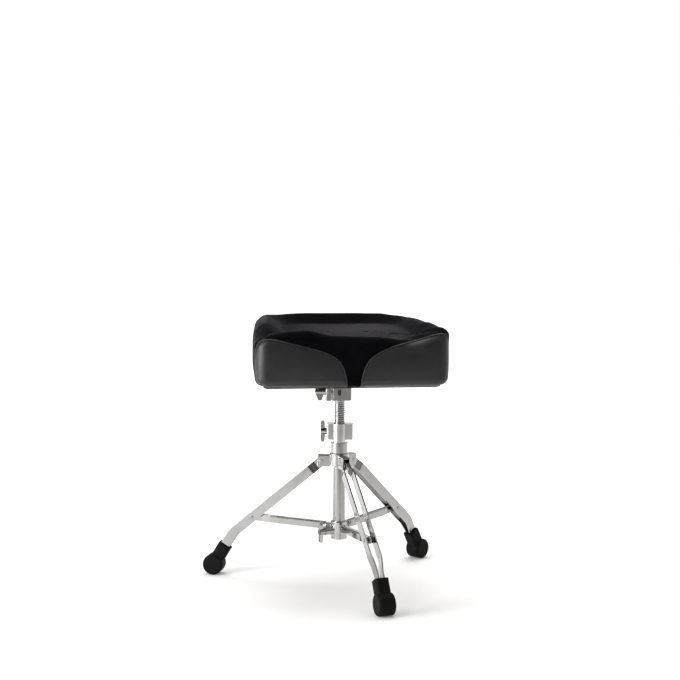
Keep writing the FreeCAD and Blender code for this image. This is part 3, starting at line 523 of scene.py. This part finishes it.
def inflate():
    """Runs the cloth on a remeshed copy and returns where its points began and how far they went."""
    obj = seat_form()
    remesh = obj.modifiers.new("remesh", "REMESH")
    remesh.mode = "VOXEL"
    remesh.voxel_size = SIM_VOXEL
    apply_modifiers(obj)
    start = positions(obj)
    pin_weights(obj)
    cloth = obj.modifiers.new("cloth", "CLOTH")
    cloth.settings.quality = 4
    cloth.settings.mass = 0.4
    cloth.settings.tension_stiffness = 40
    cloth.settings.compression_stiffness = 10
    cloth.settings.bending_stiffness = 0.4
    cloth.settings.use_pressure = True
    cloth.settings.uniform_pressure_force = 4.0
    cloth.settings.vertex_group_mass = "held"
    cloth.settings.effector_weights.gravity = 0
    cloth.collision_settings.use_collision = False
    cloth.point_cache.frame_start, cloth.point_cache.frame_end = 1, SIM_FRAMES
    scene = bpy.context.scene
    for number in range(1, SIM_FRAMES + 1):
        scene.frame_set(number)
        bpy.context.evaluated_depsgraph_get()
    apply_modifiers(obj)
    moved = positions(obj) - start
    scene.frame_set(1)
    bpy.data.objects.remove(obj)
    length = np.linalg.norm(moved, axis=1, keepdims=True)
    moved *= np.minimum(1.0, SIM_LIMIT / np.maximum(length, 1e-9))
    return start, moved


def apply_modifiers(obj):
    graph = bpy.context.evaluated_depsgraph_get()
    mesh = bpy.data.meshes.new_from_object(obj.evaluated_get(graph))
    obj.modifiers.clear()
    obj.data = mesh


def positions(obj):
    flat = np.empty(3 * len(obj.data.vertices))
    obj.data.vertices.foreach_get("co", flat)
    return flat.reshape(-1, 3)


def settled(point):
    """A point in metres, moved by the filling's push on the nearest simulated points."""
    if TREE is None:
        return point
    total, weight = np.zeros(3), 0.0
    for _, index, distance in TREE.find_n(point, SIM_NEIGHBOURS):
        share = 1 / (distance + SIM_BLUR)
        total += share * PUSH[index]
        weight += share
    return np.asarray(point) + total / weight


def dished(edge, steps):
    """Rings that run from the rim's inner edge down into the dish and in to its middle."""
    rings = []
    for row in range(1, steps + 1):
        t = row / steps
        blend = float(smoothstep(t / DISH_WALL))
        ring = []
        for e in edge:
            x = e[0] + (DISH_CENTRE[0] - e[0]) * t
            y = e[1] + (DISH_CENTRE[1] - e[1]) * t
            ring.append(np.array([x, y, e[2] * (1 - blend) + dish_height(x, y) * blend]))
        rings.append(ring)
    return rings


OUTLINE_STEPS = np.arange(-HALF_LENGTH, HALF_LENGTH, 3.0)
OUTLINE_POINTS = np.array([outline(s)[0] for s in OUTLINE_STEPS])
TREE, PUSH = None, None
START, PUSH = inflate()
TREE = KDTree(len(START))
for number, point in enumerate(START):
    TREE.insert(point, number)
TREE.balance()


# ---- seat ----------------------------------------------------------------------------------
COLUMNS = [(s, h) for s, h in SEAM_CURVE[::2]]
VINYL_ROWS = 26
SIDE_ROWS, RIM_ROWS, DISH_ROWS = 18, 10, 30
COVER_THICKNESS = 0.0012
WELT_STANDOFF = 0.9
HEM_STEPS = ((BOTTOM_ROUND + 3, 0.4), (BOTTOM_ROUND + 9, 0.8), (HEM_INSET, 0.8))


def vinyl_panel(side):
    columns = [(s, h) for s, h in COLUMNS if h > 0.5]
    verts = []
    for row in range(VINYL_ROWS + 1):
        t = row / VINYL_ROWS
        for s, h in columns:
            p = side_place(side * s, t * h)
            verts.append(settled(p * MM))
    count = len(columns)
    hem = []
    for inset, drop in HEM_STEPS[::-1]:
        for s, h in columns:
            p, n = outline(side * s)
            hem.append(np.array([*(p - n * inset), SEAT_BOTTOM - drop]) * MM)
    faces = grid_faces(VINYL_ROWS + 4, count)
    name = "right" if side > 0 else "left"
    return soft_piece("vinyl_panel_" + name, hem + verts, faces, VINYL, "side_panel_" + name)


def velour_loop():
    """Where the velour's lower edge runs: over the panels, and down to the hem between them."""
    tongue = [(x, -8.0) for x in (0.0, 3.0, 6.0, 9.0, 12.0)]
    back = [(s, -8.0) for s in np.linspace(COLUMNS[-1][0] + 4, HALF_LENGTH, 60)]
    half = tongue + COLUMNS + back
    return half + [(-s, h) for s, h in half[-2:0:-1]]


def velour_rings(loop):
    rings = []
    for row in range(SIDE_ROWS + 1):
        ring = []
        for s, h in loop:
            top = rim_height(s) - SEAT_BOTTOM - RIM_ROUND
            low = max(h, 0.0)
            ring.append(side_place(s, low + (max(top, low + 0.5) - low) * row / SIDE_ROWS))
        rings.append(ring)
    for row in range(1, RIM_ROWS + 1):
        ring = []
        for s, h in loop:
            top = rim_height(s) - SEAT_BOTTOM - RIM_ROUND
            reach = top + RIM_ROUND * math.pi / 2 * row / RIM_ROWS
            ring.append(side_place(s, max(reach, max(h, 0) + 0.5)))
        rings.append(ring)
    return rings + dished(rings[-1], DISH_ROWS)


def velour_top():
    loop = velour_loop()
    count = len(loop)
    rings = velour_rings(loop)
    verts = [settled(v * MM) for ring in rings for v in ring]
    faces = grid_faces(len(rings), count, closed=True)
    hems = [0]
    for inset, drop in HEM_STEPS:
        hems.append(len(verts))
        for s, h in loop:
            p, n = outline(s)
            verts.append(np.array([*(p - n * inset), SEAT_BOTTOM - drop]) * MM)
    for upper, lower in zip(hems, hems[1:]):
        for j in range(count):
            k = (j + 1) % count
            if loop[j][1] < 0.5 and loop[k][1] < 0.5:
                faces.append((upper + k, upper + j, lower + j, lower + k))
    return soft_piece("velour_top", verts, faces, VELOUR, "seat_cushion")


def soft_piece(name, verts, faces, material, stands_for):
    obj = mesh_object(name, verts, faces, material, "seat")
    thick = obj.modifiers.new("thickness", "SOLIDIFY")
    thick.thickness = COVER_THICKNESS
    thick.offset = -1
    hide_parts(stands_for)
    return obj


def welt(side):
    path = []
    for s, h in COLUMNS:
        if h < -4:
            continue
        p = side_place(side * s, max(h, 0.0))
        n = outline(side * s)[1]
        path.append(settled((p + np.array([n[0], n[1], 0.0]) * WELT_STANDOFF) * MM))
    path = catmull([tuple(p) for p in path], 3)
    verts, faces = tube_mesh(path, WELT_RADIUS * MM, 10)
    obj = mesh_object("welt_" + ("right" if side > 0 else "left"), verts, faces, VINYL, "seat")
    return obj


STITCH_PITCH = 4.6
STITCH_GAP = 1.4
STITCH_BELOW = 5.0    # distance from the welt's line
STITCH_RADIUS = 0.42
STITCH_ARCH = (-0.35, 0.12, 0.22, 0.12, -0.35)  # height above the vinyl along one stitch


def stitches(side):
    """A row of short stitches in the vinyl, just under the welt."""
    verts, faces = [], []
    walked = 0.0
    points = []
    curve = [c for c in catmull(COLUMNS, 3) if c[1] > 8]
    for a, b in zip(curve, curve[1:]):
        tangent = b - a
        length = np.linalg.norm(tangent)
        if length < 1e-6:
            continue
        normal = np.array([tangent[1], -tangent[0]]) / length
        points.append((walked, a + normal * STITCH_BELOW))
        walked += length
    marks = np.array([p[0] for p in points])
    places = np.array([p[1] for p in points])
    position = 2.0
    while position + STITCH_PITCH < walked:
        ends = []
        for at in np.linspace(position, position + STITCH_PITCH - STITCH_GAP, len(STITCH_ARCH)):
            s = np.interp(at, marks, places[:, 0])
            h = np.interp(at, marks, places[:, 1])
            p = side_place(side * s, h)
            n = outline(side * s)[1]
            ends.append((p, np.array([n[0], n[1], 0.0])))
        path = [settled((p + n * up) * MM) for (p, n), up in zip(ends, STITCH_ARCH)]
        v, f = tube_mesh(path, STITCH_RADIUS * MM, 6)
        faces += [tuple(len(verts) + k for k in face) for face in f]
        verts += v
        position += STITCH_PITCH
    obj = mesh_object("stitches_" + ("right" if side > 0 else "left"), verts, faces, NYLON, "seat")
    return obj


for side in (1, -1):
    vinyl_panel(side)
    welt(side)
    stitches(side)
velour_top()


COVER_COLUMNS, COVER_ROWS = 96, 8
COVER_HOLE = (51.0, 78.0)  # half its length and width round the plate
COVER_DROP = 2.2
COVER_SAG = 1.0


def dust_cover():
    """The black cloth stapled under the board, with a hole for the plate."""
    outer, inner = [], []
    for i in range(COVER_COLUMNS):
        s = -HALF_LENGTH + 2 * HALF_LENGTH * i / COVER_COLUMNS
        p, n = outline(s)
        q = p - n * (HEM_INSET - 8)
        outer.append((q[0], q[1]))
        angle = math.atan2(q[1], q[0])
        k = 1 / max(abs(math.cos(angle)) / COVER_HOLE[0], abs(math.sin(angle)) / COVER_HOLE[1])
        inner.append((k * math.cos(angle), k * math.sin(angle)))
    verts = []
    for row in range(COVER_ROWS + 1):
        t = row / COVER_ROWS
        z = SEAT_BOTTOM - COVER_DROP - COVER_SAG * math.sin(math.pi * t)
        for a, b in zip(outer, inner):
            verts.append((MM * (a[0] + (b[0] - a[0]) * t), MM * (a[1] + (b[1] - a[1]) * t), MM * z))
    faces = grid_faces(COVER_ROWS + 1, COVER_COLUMNS, closed=True)
    obj = mesh_object("dust_cover", verts, faces, COVER, "seat")
    thick = obj.modifiers.new("thickness", "SOLIDIFY")
    thick.thickness = 0.0005


dust_cover()


# ---- spindle with a real helical thread ----------------------------------------------------
def thread_profile(u):
    """Radius over one pitch: a flat crest, a short flank, a flat root and a flank back."""
    return SPINDLE_RADIUS - THREAD_DEPTH * float(np.interp(u % 1.0, (0.24, 0.46, 0.76, 0.98), (0, 1, 1, 0)))


THREAD_COLUMNS, THREAD_ROWS = 64, 16  # facets round the spindle, and rows in one pitch
THREAD_FADE = 3.0


def spindle():
    around = THREAD_COLUMNS
    heights = [(SPINDLE_LOW, SHANK_RADIUS + 2), (SPINDLE_LOW + 3, SHANK_RADIUS + 2),
               (SPINDLE_LOW + 3, SHANK_RADIUS), (SPINDLE_LOW + 15.4, SHANK_RADIUS),
               (SPINDLE_LOW + 15.4, SPINDLE_RADIUS)]
    rows = [[(r, z)] * around for z, r in heights]
    z = SPINDLE_LOW + 16.0
    step = THREAD_PITCH / THREAD_ROWS
    while z < THREAD_HIGH + THREAD_FADE:
        row = []
        for k in range(around):
            depth = smoothstep((z - THREAD_LOW) / THREAD_FADE)
            depth *= smoothstep((THREAD_HIGH - z) / THREAD_FADE)
            full = thread_profile(z / THREAD_PITCH - k / around)
            row.append((SPINDLE_RADIUS - (SPINDLE_RADIUS - full) * float(depth), z))
        rows.append(row)
        z += step
    rows.append([(SPINDLE_RADIUS, SPINDLE_HIGH - 0.8)] * around)
    rows.append([(SPINDLE_RADIUS - 0.8, SPINDLE_HIGH)] * around)
    verts = []
    for row in rows:
        for k, (r, height) in enumerate(row):
            angle = 2 * math.pi * k / around
            verts.append((MM * r * math.cos(angle), MM * r * math.sin(angle), MM * height))
    faces = grid_faces(len(rows), around, closed=True)
    faces.append(tuple(range(around))[::-1])
    faces.append(tuple((len(rows) - 1) * around + k for k in range(around)))
    obj = mesh_object("threaded_spindle", verts, faces, STEEL, "seat")
    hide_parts("spindle")


spindle()


# ---- stage, light and camera ---------------------------------------------------------------
FLOOR_SIZE, FLOOR_LEVEL = 30.0, -0.0004
FLOOR_TONES = (0.42, 0.91)
FLOOR_GLOW = (0.12, 1.0)
# where the tones and the glow change, in metres back from the column
TONE_SPAN = (-1.7, -0.85)
GLOW_SPAN = (0.2, 1.8)


def floor():
    """A pale floor that glows white far behind the object, so that it runs into the backdrop."""
    mesh = bpy.data.meshes.new("floor")
    corners = [(FLOOR_SIZE * x, FLOOR_SIZE * y, FLOOR_LEVEL) for x, y in ((-1, -1), (1, -1), (1, 1), (-1, 1))]
    mesh.from_pydata(corners, [], [(0, 1, 2, 3)])
    obj = bpy.data.objects.new("floor", mesh)
    bpy.context.scene.collection.objects.link(obj)
    look = Look("pale_floor", Roughness=0.6, Specular_IOR_Level=0.05)
    away = look.add("ShaderNodeVectorMath", operation="DOT_PRODUCT")
    look.link(look.coords.outputs["Object"], away.inputs[0])
    away.inputs[1].default_value = BACKWARD
    near = look.add("ShaderNodeMapRange")
    near.inputs["From Min"].default_value, near.inputs["From Max"].default_value = TONE_SPAN
    look.link(away.outputs["Value"], near.inputs["Value"])
    look.colour(look.ramp(near.outputs["Result"], 0.0, 1.0, grey(FLOOR_TONES[0]), grey(FLOOR_TONES[1])))
    glow = look.add("ShaderNodeMapRange", interpolation_type="SMOOTHSTEP")
    for key, value in zip(("From Min", "From Max", "To Min", "To Max"), GLOW_SPAN + FLOOR_GLOW):
        glow.inputs[key].default_value = value
    look.link(away.outputs["Value"], glow.inputs["Value"])
    look.link(glow.outputs["Result"], look.shader.inputs["Emission Strength"])
    look.shader.inputs["Emission Color"].default_value = (1, 1, 1, 1)
    mesh.materials.append(look.material)


TURN, PITCH, ROLL, DISTANCE, EYE_HEIGHT = 9.0, 4.65, 0.38, 3.0, 0.801
azimuth, pitch = math.radians(TURN), math.radians(PITCH)
BACKWARD = Vector((math.sin(azimuth), math.cos(azimuth), 0.0))
floor()


def softbox(name, place, aim, size, power):
    light = bpy.data.lights.new(name, "AREA")
    light.shape = "RECTANGLE"
    light.size, light.size_y = size
    light.energy = power
    obj = bpy.data.objects.new(name, light)
    obj.location = place
    obj.rotation_mode = "QUATERNION"
    obj.rotation_quaternion = (Vector(aim) - Vector(place)).to_track_quat("-Z", "Y")
    bpy.context.scene.collection.objects.link(obj)


softbox("key", (-2.2, -1.6, 2.6), (0, 0, 0.4), (1.2, 1.2), 22)
softbox("top", (0.3, 0.8, 3.0), (0.1, 0, 0.4), (2.0, 1.5), 52)
softbox("left", (-2.6, -0.9, 0.8), (0, 0, 0.45), (1.5, 1.3), 72)


# how bright the room is, from behind the object (0) round to behind the camera (1)
ROOM = ((0.03, 0.30), (0.10, 0.24), (0.22, 0.80), (0.45, 0.70), (0.60, 0.36), (0.78, 0.44), (0.93, 0.34))


def studio(toward_camera):
    """A dim room behind the camera, bright sides and backdrop, and plain white for the camera."""
    world = bpy.data.worlds.new("studio")
    bpy.context.scene.world = world
    world.use_nodes = True
    tree = world.node_tree
    coords = tree.nodes.new("ShaderNodeTexCoord")
    facing = tree.nodes.new("ShaderNodeVectorMath")
    facing.operation = "DOT_PRODUCT"
    facing.inputs[1].default_value = toward_camera
    tree.links.new(coords.outputs["Generated"], facing.inputs[0])
    half = tree.nodes.new("ShaderNodeMapRange")
    half.inputs["From Min"].default_value = -1.0
    tree.links.new(facing.outputs["Value"], half.inputs["Value"])
    ramp = tree.nodes.new("ShaderNodeValToRGB")
    ramp.color_ramp.elements[0].color = grey(0.85)
    ramp.color_ramp.elements[1].color = grey(0.07, (1, 0.93, 0.85))
    for position, value in ROOM:
        ramp.color_ramp.elements.new(position).color = grey(value, (1, 0.985, 0.965))
    tree.links.new(half.outputs["Result"], ramp.inputs["Fac"])
    room = tree.nodes["Background"]
    tree.links.new(ramp.outputs["Color"], room.inputs["Color"])
    backdrop = tree.nodes.new("ShaderNodeBackground")
    backdrop.inputs["Color"].default_value = (1, 1, 1, 1)
    path = tree.nodes.new("ShaderNodeLightPath")
    mix = tree.nodes.new("ShaderNodeMixShader")
    tree.links.new(path.outputs["Is Camera Ray"], mix.inputs[0])
    tree.links.new(room.outputs["Background"], mix.inputs[1])
    tree.links.new(backdrop.outputs["Background"], mix.inputs[2])
    tree.links.new(mix.outputs["Shader"], tree.nodes["World Output"].inputs["Surface"])


view = bpy.context.scene.view_settings
view.view_transform = "Standard"
view.look = "None"

FOCAL = 1322.0
IMAGE = 680.0
camera = bpy.data.cameras.new("camera")
camera.sensor_width = 36.0
camera.lens = 36.0 * FOCAL / IMAGE
camera.clip_start, camera.clip_end = 0.1, 100.0
eye = bpy.data.objects.new("camera", camera)
bpy.context.scene.collection.objects.link(eye)
eye.location = -DISTANCE * BACKWARD + Vector((0, 0, EYE_HEIGHT))
aim = Vector((math.sin(azimuth) * math.cos(pitch), math.cos(azimuth) * math.cos(pitch), -math.sin(pitch)))
eye.rotation_mode = "QUATERNION"
eye.rotation_quaternion = aim.to_track_quat("-Z", "Y") @ Quaternion((0, 0, 1), math.radians(ROLL))
bpy.context.scene.camera = eye
studio(-BACKWARD)
